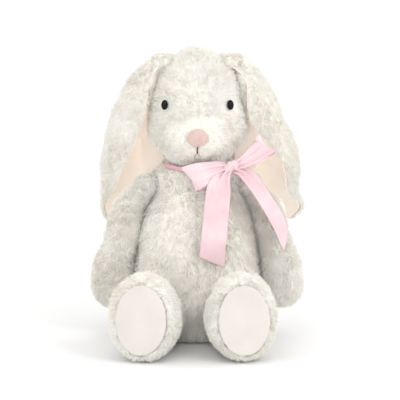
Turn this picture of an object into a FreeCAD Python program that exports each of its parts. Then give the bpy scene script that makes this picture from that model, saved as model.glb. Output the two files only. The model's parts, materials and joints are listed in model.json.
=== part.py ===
import FreeCAD, Part

import math
import os

import Sketcher
from FreeCAD import Placement, Rotation, Vector

# A plush rabbit that sits upright with a satin bow at its neck. Millimetres, +Z up, the rabbit faces -Y.
# "left" is the -X side. The origin is under the middle of the whole toy, on the surface it sits on.

os.makedirs("parts", exist_ok=True)
doc = FreeCAD.newDocument("plush_rabbit")
sheet = doc.addObject("Spreadsheet::Sheet", "Dims")
SIDES = (("left", -1), ("right", 1))

sheet_row = 0


def cell(alias, value):
    """Put one driving dimension in the next row of the sheet."""
    global sheet_row
    sheet_row += 1
    sheet.set(f"A{sheet_row}", alias)
    sheet.set(f"B{sheet_row}", str(value))
    sheet.setAlias(f"B{sheet_row}", alias)
    return f"Dims.{alias}"


def size(alias):
    return float(sheet.get(alias))


# ---------------------------------------------------------------- driving dimensions

for name, value in {
    "body_y": 35.0,            # the torso's upright axis stands behind the middle of the whole toy
    "skin": 2.8,               # plush backing and the packed root of its pile
    "fill_gap": 0.4,           # between a cover and its fill
    "fit_gap": 0.6,            # between two bodies at a soft joint
    "neck_height": 174.0,      # centre of the neck wad, where the head turns and nods
    "neck_radius": 24.0,
    "muzzle_y": -30.0,
    "muzzle_z": 206.0,
    "muzzle_half_width": 35.0,
    "muzzle_half_depth": 36.0,
    "muzzle_half_height": 27.0,
    "nose_z": 208.0,
    "nose_half_width": 11.0,
    "nose_half_height": 9.0,
    "nose_half_depth": 5.0,
    "mouth_width": 1.2,
    "mouth_height": 7.0,
    "mouth_proud": 0.8,
    "eye_x": 32.6,
    "eye_z": 236.2,
    "eye_half_width": 3.5,
    "eye_half_height": 5.0,
    "eye_half_depth": 3.2,
    "shank_radius": 1.4,
    "shank_length": 12.0,
    "washer_radius": 6.5,
    "washer_thickness": 1.4,
    "hip_height": 30.0,
    "hip_y": -52.0,
    "thigh_radius": 27.8,
    "shoulder_x": 50.0,        # the round top of an arm turns here, half sunk in the torso
    "shoulder_y": -9.0,
    "shoulder_z": 150.0,
    "shoulder_radius": 15.0,
    "leg_lift": 30.0,          # degrees, as far as the thigh lifts before the belly stops it
    "sole_thickness": 2.4,
    "sole_lean": 8.0,
    "ear_plush": 2.4,
    "ear_lining": 1.4,
    "ear_layer_gap": 0.55,
    "pellet_half_width": 40.0,
    "pellet_half_depth": 36.0,
    "pellet_half_height": 11.0,
    "tail_radius": 17.0,
    "tail_z": 36.0,
    "ribbon_width": 25.0,
    "ribbon_thickness": 0.8,
    "band_radius": 34.4,
    "band_height": 8.0,
    "band_z": 166.5,
    "knot_x": 33.5,
    "knot_y": -51.0,
    "knot_z": 175.0,
    "knot_half_width": 8.5,
    "knot_half_depth": 5.5,
    "knot_half_height": 7.0,
}.items():
    cell(name, value)

# Stations of each stuffed shape: (height, half width X, half depth Y, middle X, middle Y)
TORSO = [
    (0, 54, 54, 0, 0), (7, 62, 62, 0, 0), (25, 67, 67, 0, 0), (45, 67, 67, 0, 0), (64, 65, 65, 0, 0),
    (90, 60.5, 60.5, 0, 0), (112, 55, 55, 0, 0), (130, 49, 49, 0, 0), (145, 43.5, 43.5, 0, 0),
    (156, 38.5, 38.5, 0, 0), (166, 33.6, 33.6, 0, 0), (172.5, 30, 30, 0, 0),
]
HEAD = [
    (179, 29, 28.5, 0, 0), (183.5, 36, 35.5, 0, 0), (190, 42.5, 42, 0, 0), (202, 49, 48, 0, 0),
    (217, 50, 49, 0, 0), (236, 46.5, 48, 0, 0), (254, 43.5, 44, 0, 0), (267, 36.5, 37, 0, 0),
    (278, 26.5, 27, 0, 0), (287, 14, 14, 0, 0), (290.5, 5, 5, 0, 0),
]
ARM = [
    (28, 5, 5, 83, -12), (32, 11.5, 11, 84.5, -12), (43, 18, 16, 86.5, -13), (60, 20.3, 17.5, 85.5, -13),
    (85, 18.6, 17, 80.5, -12), (112, 17, 16, 73, -11), (135, 15.8, 15, 65.5, -10),
    (144, 15.2, 14.8, 57.5, -9), (152, 14.3, 14, 50.8, -9), (158.5, 11.8, 11.8, 49.5, -9),
    (162.5, 8, 8, 49, -9), (165, 3.8, 3.8, 48.8, -9),
]
# A leg's stations run forward from the hip: (distance, half width, half height, middle X, middle height)
LEG = [
    (-26, 6, 6, 0, 30), (-20, 17, 17, 0, 30), (-10, 24.5, 24.5, 0, 30), (0, 27, 27, 0, 30),
    (28, 28.5, 28.5, 0, 29), (52, 30, 32, 0, 32), (70, 33, 39, 0, 39), (84, 34.5, 43, 0, 43),
    (96, 32.5, 41, 0, 43), (103, 25.5, 34.5, 0, 42.5),
]
LEAN_FROM = 6  # the last stations of a leg lean back with its sole

# per side: hip X and splay of the leg in degrees
cell("hip_x_left", 38)
cell("hip_x_right", 32)
cell("splay_left", 9.5)
cell("splay_right", 7.5)

# An ear hangs from the top of the head. Each station is an arc across it: the middle of its plush
# face (out, back, up), the outward direction there (out, back, up), its radius, and how far it
# sweeps from there to its front edge and to its rear edge.
EAR_ROOT = [
    (32.5, 2, 282.5, 0.43, 0, 0.90, 29, 25, 25), (52, 2.5, 270.5, 0.66, -0.02, 0.75, 27, 46, 52),
    (71.5, 3, 249, 0.90, -0.13, 0.41, 28, 74, 92),
]
EARS = {
    "left": EAR_ROOT + [
        (84, 6, 222, 0.98, -0.08, 0.16, 28, 92, 114), (93, 17, 190, 1.0, 0.02, 0, 28, 92, 128),
        (96, 29, 160, 0.98, 0.17, 0, 26.5, 84, 132), (96, 36, 134, 0.97, 0.24, 0, 22, 62, 100),
        (91.5, 41, 109, 0.95, 0.31, 0, 14, 34, 40),
    ],
    "right": EAR_ROOT + [
        (83, 6, 222, 0.98, -0.10, 0.16, 28, 92, 112), (97, 18, 190, 0.97, 0.20, 0, 28, 92, 122),
        (100, 30, 160, 0.92, 0.40, 0, 27, 84, 120), (99.5, 37, 134, 0.94, 0.34, 0, 22.5, 62, 92),
        (94, 42, 109, 0.94, 0.34, 0, 14, 34, 40),
    ],
}
EAR_NAMES = ("out", "back", "up", "facing_out", "facing_back", "facing_up", "radius",
             "front_sweep", "rear_sweep")


STATION_NAMES = ("at", "half_a", "half_b", "mid_a", "mid_b")


def store_stations(part, rows, names=STATION_NAMES):
    """Put a part's stations in the sheet; returns the aliases of each row."""
    found = []
    for n, row in enumerate(rows):
        found.append([cell(f"{part}_{name}_{n}", value) for name, value in zip(names, row)])
    return found


stations = {name: store_stations(name, rows)
            for name, rows in (("torso", TORSO), ("head", HEAD), ("arm", ARM), ("leg", LEG))}
for name, rows in EARS.items():
    store_stations(f"ear_{name}", rows, EAR_NAMES)
doc.recompute()

# ---------------------------------------------------------------- building blocks


def origin_plane(body, role):
    return next(o for o in body.Origin.OriginFeatures if o.Role == role)


def bind(obj, **expressions):
    for prop, expression in expressions.items():
        obj.setExpression(prop.replace("__", "."), expression)


def ellipse_sketch(body, name, at, half_a, half_b, mid_a, mid_b, lean=False):
    """One closed section of a stuffed shape, bound to the sheet."""
    sketch = body.newObject("Sketcher::SketchObject", name)
    sketch.AttachmentSupport = [(origin_plane(body, "XY_Plane"), "")]
    sketch.MapMode = "FlatFace"
    a, b = (float(sheet.evalExpression(e)) for e in (half_a, half_b))
    wide = a >= b
    big, small = (half_a, half_b) if wide else (half_b, half_a)
    if abs(a - b) < 1e-6:
        sketch.addGeometry(Part.Circle(Vector(0, 0, 0), Vector(0, 0, 1), a))
        sketch.addConstraint(Sketcher.Constraint("Coincident", 0, 3, -1, 1))
        radius = sketch.addConstraint(Sketcher.Constraint("Radius", 0, a))
        sketch.setExpression(f"Constraints[{radius}]", half_a)
    else:
        along = Vector(a, 0, 0) if wide else Vector(0, b, 0)
        across = Vector(0, b, 0) if wide else Vector(-a, 0, 0)
        sketch.addGeometry(Part.Ellipse(along, across, Vector(0, 0, 0)))
        sketch.exposeInternalGeometry(0)
        sketch.addConstraint(Sketcher.Constraint("Coincident", 0, 3, -1, 1))
        sketch.addConstraint(Sketcher.Constraint("Horizontal" if wide else "Vertical", 1))
        for line, half in ((1, big), (2, small)):
            length = 2 * float(sheet.evalExpression(half))
            index = sketch.addConstraint(Sketcher.Constraint("Distance", line, length))
            sketch.setExpression(f"Constraints[{index}]", f"2 * ({half})")
    if lean:
        sketch.AttachmentOffset = Placement(Vector(0, 0, 0), Rotation(Vector(1, 0, 0), -size("sole_lean")))
    bind(sketch, AttachmentOffset__Base__x=mid_a, AttachmentOffset__Base__y=mid_b,
         AttachmentOffset__Base__z=at)
    return sketch


def stuffed(label, part, shrink="0", side=1, open_low=None, open_high=None, lean_from=None):
    """A closed stuffed shape lofted through a part's stations, smaller by shrink all round.

    open_low and open_high move the first or the last section outwards, to cut through that end."""
    body = doc.addObject("PartDesign::Body", label)
    rows = stations[part]
    sections = []
    for n, (at, half_a, half_b, mid_a, mid_b) in enumerate(rows):
        if n == 0:
            at = f"{at} + {open_low or shrink}"
        if n == len(rows) - 1:
            at = f"{at} - ({shrink})" if open_high is None else f"{at} + {open_high}"
        lean = lean_from is not None and n >= lean_from
        sections.append(ellipse_sketch(
            body, f"{label}_section_{n}", at, f"{half_a} - ({shrink})", f"{half_b} - ({shrink})",
            f"{side} * {mid_a}", mid_b, lean))
    loft = body.newObject("PartDesign::AdditiveLoft", f"{label}_loft")
    loft.Profile = sections[0]
    loft.Sections = sections[1:]
    body.Tip = loft
    return body


def boolean(kind, label, base, *tools):
    """Part::Cut, Part::Common or Part::Fuse of document objects, one tool after another."""
    for n, tool in enumerate(tools):
        obj = doc.addObject(f"Part::{kind}", label if n == len(tools) - 1 else f"{label}_{kind}_{n}")
        obj.Base = base
        obj.Tool = tool
        base = obj
    return base


def primitive(kind, label, x="0", y="0", z="0", **sizes):
    """A Part primitive with its sizes and its place bound to the sheet; y counts from the torso's axis."""
    obj = doc.addObject(f"Part::{kind}", label)
    bind(obj, Placement__Base__x=x, Placement__Base__y=f"{y} + Dims.body_y", Placement__Base__z=z, **sizes)
    return obj


def ellipsoid(label, x, y, z, half_x, half_y, half_z):
    return primitive("Ellipsoid", label, x, y, z, Radius1=half_z, Radius2=half_x, Radius3=half_y)


def half_space(label, side, depth_side=None):
    """A box that keeps one side of the centre seam, or one quarter between the centre and side seams."""
    box = doc.addObject("Part::Box", label)
    reach = 400
    box.Length, box.Width, box.Height = reach, reach if depth_side else 2 * reach, 2 * reach
    box.Placement.Base = Vector(0 if side > 0 else -reach, 0, -reach / 2)
    shift = {None: -reach, 1: 0, -1: -reach}[depth_side]
    box.setExpression("Placement.Base.y", f"Dims.body_y + {shift}")
    return box


def free_shape(label, shape):
    """A sub-part whose curved shape is worked out from the sheet with Part's own functions."""
    obj = doc.addObject("Part::Feature", label)
    obj.Shape = shape
    obj.Placement = Placement(Vector(0, size("body_y"), 0), Rotation())
    return obj


def stand_on_axis(body):
    body.setExpression("Placement.Base.y", "Dims.body_y")
    return body


subparts = []


def keep(*objects):
    subparts.extend(objects)


# ---------------------------------------------------------------- shared cutters


def hip_frame(side_name, sign):
    """Where a leg stands: its hip, with the leg's forward axis turned out by the splay."""
    base = Vector(sign * size(f"hip_x_{side_name}"), size("hip_y") + size("body_y"), 0)
    outward = Rotation(Vector(0, 0, 1), sign * size(f"splay_{side_name}"))
    return Placement(base, outward.multiply(Rotation(Vector(1, 0, 0), 90)))


neck_pocket = primitive("Sphere", "neck_pocket", z="Dims.neck_height",
                        Radius="Dims.neck_radius + Dims.fit_gap")



def leg_room(name, sign):
    """The room a thigh needs, from rest to fully lifted: a round hollow, and a bore at each step."""
    hip = hip_frame(name, sign)
    centre = Vector(hip.Base.x, hip.Base.y, size("hip_height"))
    hollow = primitive("Sphere", f"hip_hollow_{name}", x=f"{sign} * Dims.hip_x_{name}", y="Dims.hip_y",
                       z="Dims.hip_height", Radius="Dims.thigh_radius + Dims.fit_gap")
    found = [hollow]
    for n in range(LIFT_STEPS + 1):
        bore = doc.addObject("Part::Cylinder", f"hip_bore_{name}_{n}")
        lifted = Rotation(Vector(-1, 0, 0), size("leg_lift") * n / LIFT_STEPS)
        bore.Placement = Placement(centre, lifted.multiply(hip.Rotation))
        bind(bore, Radius="Dims.thigh_radius + 2 * Dims.fit_gap", Height="3 * Dims.thigh_radius")
        found.append(bore)
    return found


def arm_room(name, sign):
    """The round hollow in the torso's side that the top of an arm turns in."""
    return primitive("Sphere", f"shoulder_hollow_{name}", x=f"{sign} * Dims.shoulder_x",
                     y="Dims.shoulder_y", z="Dims.shoulder_z", Radius="Dims.shoulder_radius + Dims.fit_gap")


LIFT_STEPS = 3
limb_rooms = [arm_room("left", -1), arm_room("right", 1), *leg_room("left", -1), *leg_room("right", 1)]

# ---------------------------------------------------------------- torso

torso_outer = stand_on_axis(stuffed("torso_outer", "torso"))
torso_inner = stand_on_axis(stuffed("torso_inner", "torso", "Dims.skin", open_high="2"))
torso_cover = boolean("Cut", "torso_cover", torso_outer, torso_inner, neck_pocket, *limb_rooms)
for depth_name, depth_side in (("front", -1), ("back", 1)):
    for name, sign in SIDES:
        quarter = half_space(f"quarter_{depth_name}_{name}", sign, depth_side)
        keep(boolean("Common", f"torso_{depth_name}_{name}", torso_cover, quarter))

pellet_bag = ellipsoid("seat_pellet_bag", "0", "4", "Dims.skin + Dims.pellet_half_height + 2",
                       "Dims.pellet_half_width", "Dims.pellet_half_depth", "Dims.pellet_half_height")
pellet_pocket = ellipsoid("pellet_pocket", "0", "4", "Dims.skin + Dims.pellet_half_height + 2",
                          "Dims.pellet_half_width + Dims.fill_gap", "Dims.pellet_half_depth + Dims.fill_gap",
                          "Dims.pellet_half_height + Dims.fill_gap")
torso_fill = stand_on_axis(stuffed("torso_fill", "torso", "Dims.skin + Dims.fill_gap"))
keep(pellet_bag, boolean("Cut", "torso_stuffing", torso_fill, neck_pocket, *limb_rooms, pellet_pocket))

# ---------------------------------------------------------------- neck and head

neck_ball = primitive("Sphere", "neck_ball", z="Dims.neck_height", Radius="Dims.neck_radius")
keep(boolean("Fuse", "neck_wad", neck_ball, primitive(
    "Sphere", "neck_core", z="Dims.neck_height", Radius="Dims.neck_radius / 2")))


def head_form(label, shrink, open_low=None):
    """The skull and the muzzle together, smaller by shrink all round."""
    skull = stand_on_axis(stuffed(f"{label}_skull", "head", shrink, open_low=open_low))
    muzzle = ellipsoid(f"{label}_muzzle", "0", "Dims.muzzle_y", "Dims.muzzle_z",
                       f"Dims.muzzle_half_width - ({shrink})", f"Dims.muzzle_half_depth - ({shrink})",
                       f"Dims.muzzle_half_height - ({shrink})")
    return boolean("Fuse", label, skull, muzzle)


head_outer = head_form("head_outer", "0")
doc.recompute()


def skin_depth_y(x, z):
    """The front of the head at this place, counted from the torso's axis."""
    line = Part.makeLine(Vector(x, size("body_y") - 200, z), Vector(x, size("body_y"), z))
    touched = head_outer.Shape.common(line)
    return min(v.Y for v in touched.Vertexes) - size("body_y")


eye_turns, eye_places = {}, {}
for name, sign in SIDES:
    x, z = sign * size("eye_x"), size("eye_z")
    y = skin_depth_y(x, z)
    step = 2.0
    slope_x = (skin_depth_y(x + sign * step, z) - skin_depth_y(x - sign * step, z)) / (2 * step)
    slope_z = (skin_depth_y(x, z + step) - skin_depth_y(x, z - step)) / (2 * step)
    normal = Vector(sign * slope_x, -1, slope_z).normalize()
    eye_places[name] = Vector(x, y, z)
    eye_turns[name] = Rotation(Vector(0, -1, 0), normal)
eye_holes, washer_pockets = [], []


def eye_cylinder(label, name, radius, start, length):
    """A cylinder along an eye's shank; start is how deep below the skin's surface it begins."""
    turn = eye_turns[name].multiply(Rotation(Vector(1, 0, 0), -90))
    base = eye_places[name] + turn.multVec(Vector(0, 0, size(start) if isinstance(start, str) else start))
    rod = doc.addObject("Part::Cylinder", label)
    rod.Placement = Placement(base + Vector(0, size("body_y"), 0), turn)
    bind(rod, Radius=radius, Height=length)
    return rod


def eye_dome(label, name, grow):
    dome = doc.addObject("Part::Ellipsoid", label)
    dome.Placement = Placement(eye_places[name] + Vector(0, size("body_y"), 0), eye_turns[name])
    bind(dome, Radius1=f"Dims.eye_half_height + {grow}", Radius2=f"Dims.eye_half_width + {grow}",
         Radius3=f"Dims.eye_half_depth + {grow}")
    return dome


for name, sign in SIDES:
    eye_holes += [
        eye_dome(f"eye_seat_{name}", name, 0.1),
        eye_cylinder(f"eye_hole_{name}", name, "Dims.shank_radius + 0.1", 0.0, "Dims.shank_length + 1"),
    ]
    washer_pockets.append(eye_cylinder(
        f"washer_pocket_{name}", name, "Dims.washer_radius + Dims.fill_gap",
        "skin", "Dims.washer_thickness + 2.5"))
    keep(boolean("Fuse", f"eye_{name}", eye_dome(f"eye_dome_{name}", name, 0), eye_cylinder(
        f"eye_shank_{name}", name, "Dims.shank_radius", 0.0, "Dims.shank_length")))

head_inner = head_form("head_inner", "Dims.skin", open_low="-2")
head_cover = boolean("Cut", "head_cover", head_outer, head_inner, neck_pocket, *eye_holes)
for name, sign in SIDES:
    keep(boolean("Common", f"head_{name}", head_cover, half_space(f"half_{name}", sign)))
head_fill = head_form("head_fill", "Dims.skin + Dims.fill_gap")
keep(boolean("Cut", "head_stuffing", head_fill, neck_pocket, *washer_pockets, *eye_holes))

washers = []
for name, sign in SIDES:
    disc = eye_cylinder(f"washer_disc_{name}", name, "Dims.washer_radius", "skin",
                        "Dims.washer_thickness + 2")
    bore = eye_cylinder(f"washer_bore_{name}", name, "Dims.shank_radius + 0.05", 0.0, "30")
    # the disc is flat on its inner side and follows the curved cover on its outer side
    washers.append(boolean("Common", f"eye_washer_{name}", boolean("Cut", f"washer_ring_{name}", disc, bore),
                           head_form(f"washer_limit_{name}", "Dims.skin + 0.05")))
keep(*washers)


def muzzle_shell(label, grow):
    return ellipsoid(label, "0", "Dims.muzzle_y", "Dims.muzzle_z", f"Dims.muzzle_half_width + {grow}",
                     f"Dims.muzzle_half_depth + {grow}", f"Dims.muzzle_half_height + {grow}")


nose_y = "Dims.muzzle_y - Dims.muzzle_half_depth + 1"
nose_blank = ellipsoid("nose_blank", "0", nose_y, "Dims.nose_z", "Dims.nose_half_width", "Dims.nose_half_depth",
                       "Dims.nose_half_height")
keep(boolean("Cut", "nose", nose_blank, muzzle_shell("nose_back", 0.05)))
mouth_bar = primitive("Box", "mouth_bar", x="-Dims.mouth_width / 2", y="-100",
                      z="Dims.nose_z - Dims.nose_half_height - 1 - Dims.mouth_height",
                      Length="Dims.mouth_width", Width="70", Height="Dims.mouth_height")
mouth_cut = boolean("Common", "mouth_front", mouth_bar,
                    muzzle_shell("mouth_front_face", "Dims.mouth_proud"))
keep(boolean("Cut", "mouth_stitch", mouth_cut, muzzle_shell("mouth_back_face", 0.05)))

# ---------------------------------------------------------------- ears


def ear_section(n, name, sign, outer_inset, inner_inset):
    """A closed crescent across the ear at station n, between two insets from its plush face."""
    out, back, up, facing_out, facing_back, facing_up, radius, front_sweep, rear_sweep = (
        size(f"ear_{name}_{what}_{n}") for what in EAR_NAMES)
    middle = Vector(sign * out, back, up)
    outward = Vector(sign * facing_out, facing_back, facing_up).normalize()
    down = Vector(0, 0, -1)
    along = (down - outward * down.dot(outward)).normalize()
    front = along.cross(outward).normalize()
    if front.y > 0:
        front = front * -1
    centre = middle - outward * radius
    to_front, to_rear = math.radians(front_sweep), -math.radians(rear_sweep)
    halfway = (to_front + to_rear) / 2

    def point(inset, angle):
        return centre + (outward * math.cos(angle) + front * math.sin(angle)) * (radius - inset)

    outer = Part.Arc(*(point(outer_inset, a) for a in (to_rear, halfway, to_front))).toShape()
    inner = Part.Arc(*(point(inner_inset, a) for a in (to_front, halfway, to_rear))).toShape()
    tip = Part.makeLine(point(outer_inset, to_front), point(inner_inset, to_front))
    heel = Part.makeLine(point(inner_inset, to_rear), point(outer_inset, to_rear))
    return Part.Wire([outer, tip, inner, heel])


def ear_layer(label, name, sign, outer_inset, inner_inset):
    wires = [ear_section(n, name, sign, outer_inset, inner_inset) for n in range(len(EARS[name]))]
    return free_shape(label, Part.makeLoft(wires, True, False))


lining_starts = size("ear_plush") + size("ear_layer_gap")
for name, sign in SIDES:
    keep(ear_layer(f"ear_outer_{name}", name, sign, 0, size("ear_plush")),
         ear_layer(f"ear_lining_{name}", name, sign, lining_starts, lining_starts + size("ear_lining")))

# ---------------------------------------------------------------- arms and legs

for name, sign in SIDES:
    arm_outer = stand_on_axis(stuffed(f"arm_outer_{name}", "arm", side=sign))
    arm_inner = stand_on_axis(stuffed(f"arm_inner_{name}", "arm", "Dims.skin", side=sign))
    arm_fill = stand_on_axis(stuffed(f"arm_stuffing_{name}", "arm", "Dims.skin + Dims.fill_gap", side=sign))
    top, top_radius, _, top_x, top_y = stations["arm"][-1]
    opening = primitive("Cylinder", f"arm_opening_{name}", x=f"{sign} * {top_x}", y=top_y,
                        z=f"{top} - 2 * Dims.skin", Radius=f"{top_radius} - 1", Height="3 * Dims.skin")
    keep(boolean("Cut", f"arm_skin_{name}", arm_outer, arm_inner, opening), arm_fill)

for name, sign in SIDES:
    frame = hip_frame(name, sign)
    leg_outer = stuffed(f"leg_outer_{name}", "leg", lean_from=LEAN_FROM)
    leg_inner = stuffed(f"leg_inner_{name}", "leg", "Dims.skin", lean_from=LEAN_FROM, open_high="1")
    leg_fill = stuffed(f"leg_stuffing_{name}", "leg", "Dims.skin + Dims.fill_gap", lean_from=LEAN_FROM)
    sole = doc.addObject("PartDesign::Body", f"sole_pad_{name}")
    at, half_a, half_b, mid_a, mid_b = stations["leg"][-1]
    outline = ellipse_sketch(sole, f"sole_outline_{name}", f"{at} + 0.1", half_a, half_b, mid_a, mid_b,
                             lean=True)
    pad = sole.newObject("PartDesign::Pad", f"sole_thickness_{name}")
    pad.Profile = outline
    pad.setExpression("Length", "Dims.sole_thickness")
    sole.Tip = pad
    for body in (leg_outer, leg_inner, leg_fill, sole):
        body.Placement = frame
    keep(boolean("Cut", f"leg_skin_{name}", leg_outer, leg_inner), leg_fill, sole)

# ---------------------------------------------------------------- tail

torso_solid = stand_on_axis(stuffed("torso_solid", "torso", "-Dims.fill_gap"))
tail_y = "67 + Dims.tail_radius / 2"
tail_ball = primitive("Sphere", "tail_ball", y=tail_y, z="Dims.tail_z", Radius="Dims.tail_radius")
tail_hollow = primitive("Sphere", "tail_hollow", y=tail_y, z="Dims.tail_z",
                        Radius="Dims.tail_radius - Dims.skin")
tail_core = primitive("Sphere", "tail_core", y=tail_y, z="Dims.tail_z",
                      Radius="Dims.tail_radius - Dims.skin - Dims.fill_gap")
keep(boolean("Cut", "tail_skin", tail_ball, tail_hollow, torso_solid),
     boolean("Cut", "tail_stuffing", tail_core, torso_solid))

# ---------------------------------------------------------------- ribbon

band_outer = primitive("Cylinder", "band_outer", z="Dims.band_z", Radius="Dims.band_radius + Dims.ribbon_thickness",
                       Height="Dims.band_height")
band_inner = primitive("Cylinder", "band_inner", z="Dims.band_z - 1", Radius="Dims.band_radius",
                       Height="Dims.band_height + 2")
keep(boolean("Cut", "ribbon_band", band_outer, band_inner))
knot = ellipsoid("ribbon_knot", "Dims.knot_x", "Dims.knot_y", "Dims.knot_z", "Dims.knot_half_width",
                 "Dims.knot_half_depth", "Dims.knot_half_height")
keep(knot)

KNOT = Vector(size("knot_x"), size("knot_y"), size("knot_z"))


def strip(points, widths, across):
    """A flat ribbon stretch along points, with its width along the across vector at each one."""
    thickness = size("ribbon_thickness")
    wires = []
    for n, (p, width, side_way) in enumerate(zip(points, widths, across)):
        before, after = points[max(n - 1, 0)], points[min(n + 1, len(points) - 1)]
        along = (after - before).normalize()
        side_way = (side_way - along * side_way.dot(along)).normalize()
        face = along.cross(side_way).normalize() * (thickness / 2)
        reach = side_way * (width / 2)
        corners = [p - reach - face, p + reach - face, p + reach + face, p - reach + face]
        wires.append(Part.makePolygon(corners + corners[:1]))
    return Part.makeLoft(wires, True, False)


def bow_loop(tip, bulge):
    """A flattened ring of ribbon from the knot out to its tip, narrowing where the knot gathers it."""
    width, thickness = size("ribbon_width"), size("ribbon_thickness")
    reach = tip - KNOT
    out = Vector(reach).normalize()
    deep = (Vector(0, 1, 0) - out * out.y).normalize()
    across = out.cross(deep)
    middle = KNOT + reach * 0.5

    def oval(inset):
        half_long, half_deep = reach.Length / 2 - inset, bulge - inset
        ring = Part.Ellipse(middle + out * half_long, middle + deep * half_deep, middle)
        wire = Part.Wire(ring.toShape())
        wire.translate(across * (-width / 2))
        return Part.Face(wire).extrude(across * width)

    gathered, full = width * 0.2, width * 0.5
    outline = [(0, -gathered), (0.65, -full), (1.1, -full), (1.1, full), (0.65, full), (0, gathered)]
    corners = [KNOT + reach * share + across * high - deep * (2 * bulge) for share, high in outline]
    wedge = Part.Face(Part.makePolygon(corners + corners[:1])).extrude(deep * (4 * bulge))
    return oval(0).cut(oval(thickness)).common(wedge)


knot_room = Part.makeSphere(1)
stretch = FreeCAD.Matrix()
stretch.scale(*(size(f"knot_half_{way}") + 0.1 for way in ("width", "depth", "height")))
knot_room = knot_room.transformGeometry(stretch)
knot_room.translate(KNOT)
LOOPS = {
    # tip of the loop and how far it bulges
    "left": (Vector(-8, -58, 163), 5.0),
    "right": (Vector(72, -46, 197), 4.5),
}
for name, (tip, bulge) in LOOPS.items():
    keep(free_shape(f"ribbon_loop_{name}", bow_loop(tip, bulge).cut(knot_room)))

TAILS = {
    "left": ([Vector(31, -58.5, 166), Vector(27, -65, 155), Vector(22, -66, 130), Vector(17, -68, 102),
              Vector(14, -69.5, 79)], [0.45, 0.8, 1, 1, 1], Vector(1, 0, 0.08)),
    "right": ([Vector(44, -53, 171), Vector(55, -54, 160), Vector(67, -51, 141), Vector(77, -48, 120),
               Vector(85.5, -45, 98)], [0.45, 0.8, 1, 1, 0.9], Vector(0.55, 0.75, 0.25)),
}
for name, (path, share, across) in TAILS.items():
    widths = [size("ribbon_width") * part for part in share]
    keep(free_shape(f"ribbon_tail_{name}", strip(path, widths, [across] * len(path))))

# ---------------------------------------------------------------- check and write

doc.recompute()
for obj in doc.Objects:
    if "Invalid" in obj.State or "Error" in obj.State:
        raise RuntimeError(f"{obj.Name} failed: {obj.State}")
for obj in subparts:
    if obj.Shape.isNull() or not obj.Shape.isValid() or obj.Shape.Volume <= 0:
        raise RuntimeError(f"{obj.Label} has no valid shape")
for obj in subparts:
    obj.Shape.exportStep(os.path.join("parts", f"{obj.Label}.step"))
whole = Part.makeCompound([obj.Shape for obj in subparts]).BoundBox
print(len(subparts), "sub-parts; box", [round(v, 2) for v in (
    whole.XMin, whole.XMax, whole.YMin, whole.YMax, whole.ZMin, whole.ZMax)])
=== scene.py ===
"""The soft looks of a sitting plush rabbit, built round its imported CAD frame. Lengths are in metres."""
import json
import math

import bpy
import numpy as np
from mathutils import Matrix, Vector
from mathutils.bvhtree import BVHTree


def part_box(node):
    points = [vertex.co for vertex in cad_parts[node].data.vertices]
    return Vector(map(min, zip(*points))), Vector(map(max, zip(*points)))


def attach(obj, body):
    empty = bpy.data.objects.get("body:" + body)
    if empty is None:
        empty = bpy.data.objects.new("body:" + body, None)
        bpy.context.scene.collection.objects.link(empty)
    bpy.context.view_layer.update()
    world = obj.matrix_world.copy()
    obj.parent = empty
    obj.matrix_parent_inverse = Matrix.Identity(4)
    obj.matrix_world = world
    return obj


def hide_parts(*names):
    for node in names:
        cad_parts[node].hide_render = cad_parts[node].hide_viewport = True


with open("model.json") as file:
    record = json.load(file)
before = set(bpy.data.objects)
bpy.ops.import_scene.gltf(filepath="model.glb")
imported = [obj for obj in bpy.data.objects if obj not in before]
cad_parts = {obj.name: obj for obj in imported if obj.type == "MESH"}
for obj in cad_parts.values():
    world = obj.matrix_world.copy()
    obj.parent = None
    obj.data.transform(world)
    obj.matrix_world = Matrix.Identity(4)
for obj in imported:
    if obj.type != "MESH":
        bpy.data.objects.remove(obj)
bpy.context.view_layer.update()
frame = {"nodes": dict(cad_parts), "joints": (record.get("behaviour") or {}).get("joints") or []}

MM = 0.001

neck_low, neck_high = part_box("neck_wad")
AXIS_Y = (neck_low.y + neck_high.y) / 2
DOWN = np.array((0.0, 0.0, -1.0))
PIVOTS = {joint["name"]: np.array(joint["pos_m"]) for joint in frame["joints"]}


# ---------------------------------------------------------------- numbers that stand for chance

def hashed(cells, seed):
    """Three repeatable numbers from 0 to 1 for each row of three whole numbers."""
    c = cells.astype(np.int64)
    out = []
    for k in range(3):
        h = c[:, 0] * 73856093 + c[:, 1] * 19349663 + c[:, 2] * 83492791 + (seed * 7 + k) * 2654435761
        h &= 0xFFFFFFFF
        h = ((h ^ (h >> 15)) * 2246822519) & 0xFFFFFFFF
        h = ((h ^ (h >> 13)) * 3266489917) & 0xFFFFFFFF
        out.append(((h ^ (h >> 16)) & 0xFFFFFF) / float(0xFFFFFF))
    return np.stack(out, 1)


def nearest_tuft(points, size, seed):
    """The nearest of the points scattered about size apart in space.

    Gives its distance, its place and its own number.
    """
    grid = np.floor(points / size)
    best = np.full(len(points), 1e9)
    place = np.zeros_like(points)
    tag = np.zeros(len(points))
    for i in (-1, 0, 1):
        for j in (-1, 0, 1):
            for k in (-1, 0, 1):
                cell = grid + (i, j, k)
                r = hashed(cell, seed)
                centre = (cell + r) * size
                away = np.linalg.norm(points - centre, axis=1)
                nearer = away < best
                best[nearer] = away[nearer]
                place[nearer] = centre[nearer]
                tag[nearer] = np.modf(r[nearer, 0] * 17.3 + r[nearer, 1] * 5.1)[0]
    return best, place, tag


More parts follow.
